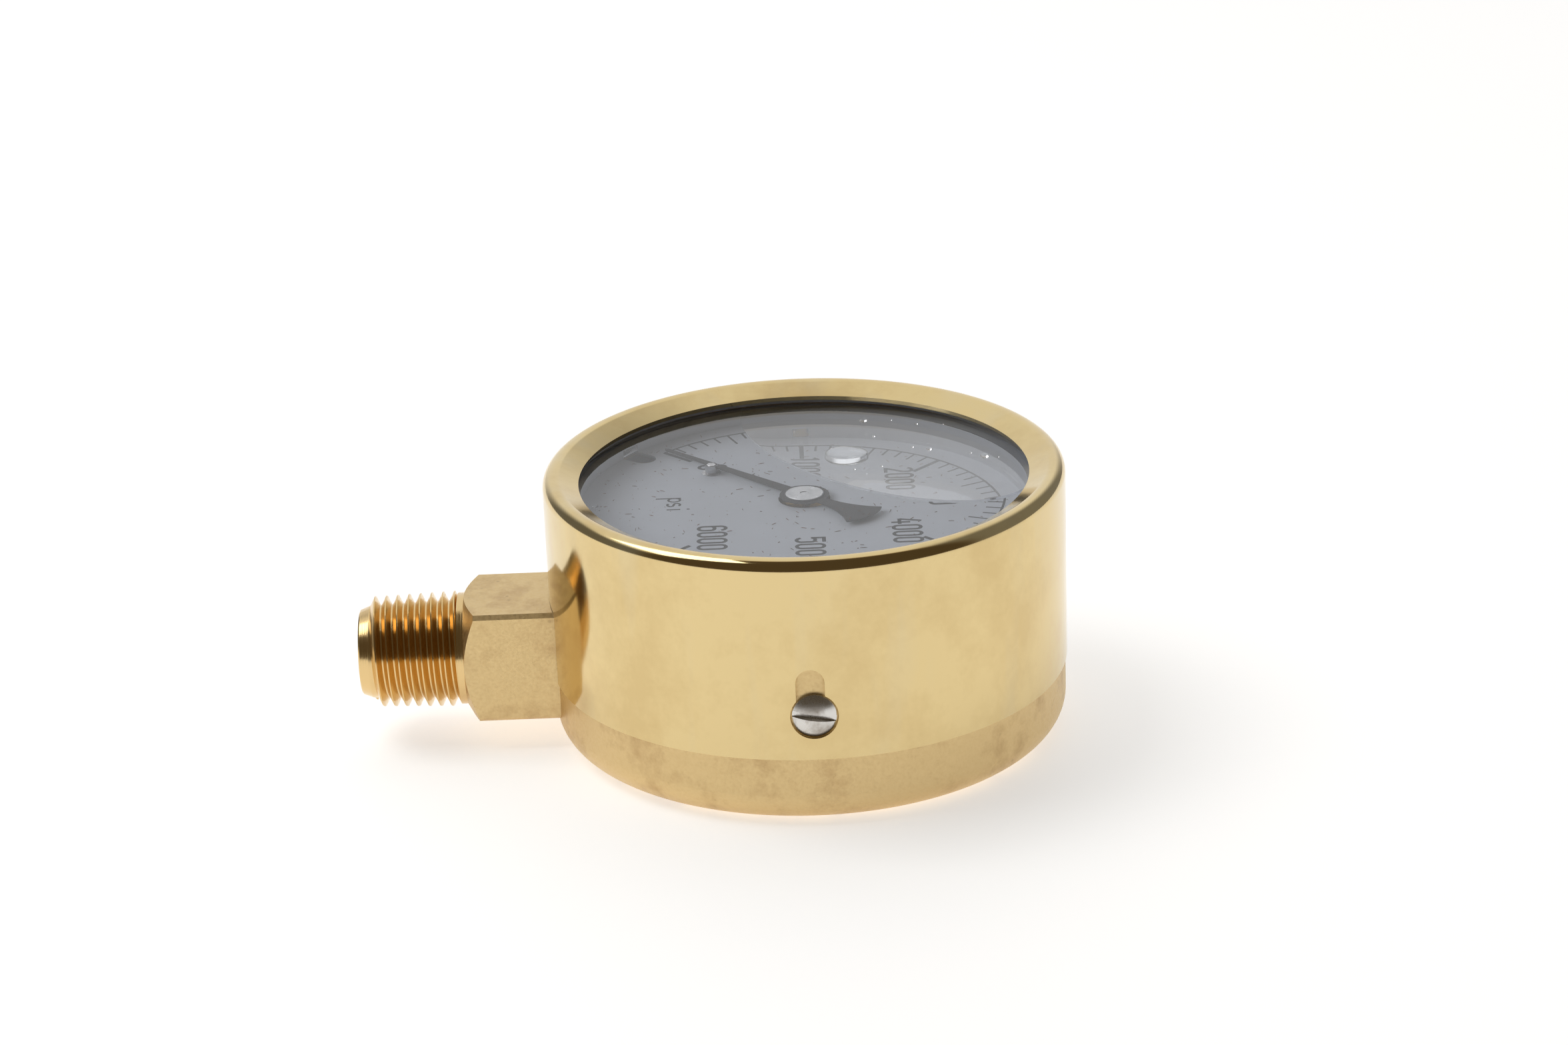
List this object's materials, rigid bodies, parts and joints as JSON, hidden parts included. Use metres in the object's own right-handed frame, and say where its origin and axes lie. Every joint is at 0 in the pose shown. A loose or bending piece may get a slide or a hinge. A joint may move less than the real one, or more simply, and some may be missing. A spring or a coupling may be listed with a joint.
{
  "type": "pressure gauge",
  "caption": "Round liquid-filled pressure gauge lying on its back, with a square-shouldered pipe-thread stem at the side, a polished bezel sleeve and a working pointer movement.",
  "frame": {"origin": "centre of the flat back of the case", "axes": "+Z out of the dial along the pointer's axis, -X along the stem towards its thread (six o'clock), +X twelve o'clock, -Y three o'clock"},
  "size_m": [0.0877, 0.065, 0.0338],
  "materials": {
    "forged_brass": "forged, tumbled and slightly tarnished",
    "polished_brass": "polished",
    "turned_brass": "turned",
    "phosphor_bronze": "drawn",
    "nickel_plate": "nickel plated",
    "bright_steel": "ground",
    "satin_aluminium": "satin",
    "black_paint": "satin black",
    "white_plastic": "moulded, matt",
    "black_rubber": "moulded",
    "grey_rubber": "moulded",
    "clear_window": "clear"
  },
  "bodies": {
    "housing": {"case": "forged_brass", "bezel_sleeve": "polished_brass", "sleeve_screws": "nickel_plate", "window_gasket": "grey_rubber", "window": "clear_window", "window_seal": "grey_rubber", "dial": "white_plastic", "stop_pin": "bright_steel", "restrictor_screw": "turned_brass", "fill_plug": "black_rubber", "bourdon_tube": "phosphor_bronze", "movement_posts": "turned_brass", "back_plate": "turned_brass", "plate_pillars": "turned_brass", "front_plate": "turned_brass", "movement_screws": "nickel_plate", "hairspring": "phosphor_bronze", "hairspring_stud": "turned_brass"},
    "tube_end": {"tube_tip": "turned_brass", "tip_pin": "bright_steel"},
    "link": {"link": "bright_steel", "link_pin": "bright_steel"},
    "sector": {"sector_gear": "turned_brass", "sector_shaft": "bright_steel"},
    "pointer": {"pinion_shaft": "bright_steel", "hairspring_collet": "turned_brass", "pointer": "black_paint", "pointer_hub": "satin_aluminium"}
  },
  "joints": [
    {"name": "sector_turn", "type": "hinge", "parent": "housing", "child": "sector", "pos_m": [0.01881, 0.00184, 0.0168], "axis": [0, 0, 1], "range_deg": [0, 33.75], "stiffness_Nm_per_rad": 0.02},
    {"name": "pointer_turn", "type": "hinge", "parent": "housing", "child": "pointer", "pos_m": [0, 0, 0.0168], "axis": [0, 0, -1], "range_deg": [0, 270], "deforming": ["hairspring"]},
    {"name": "tube_end_turn", "type": "hinge", "parent": "housing", "child": "tube_end", "pos_m": [0, 0, 0.0126], "axis": [0, 0, 1], "range_deg": [0, 11.8], "deforming": ["bourdon_tube"]},
    {"name": "link_turn", "type": "hinge", "parent": "tube_end", "child": "link", "pos_m": [0.00996, 0.01377, 0.0176], "axis": [0, 0, 1], "range_deg": [-11.8, 0]}
  ],
  "couplings": [
    {"joint": "pointer_turn", "follows": "sector_turn", "ratio": 8},
    {"joint": "tube_end_turn", "follows": "sector_turn", "ratio": 0.34847},
    {"joint": "link_turn", "follows": "sector_turn", "ratio": -0.34847}
  ]
}
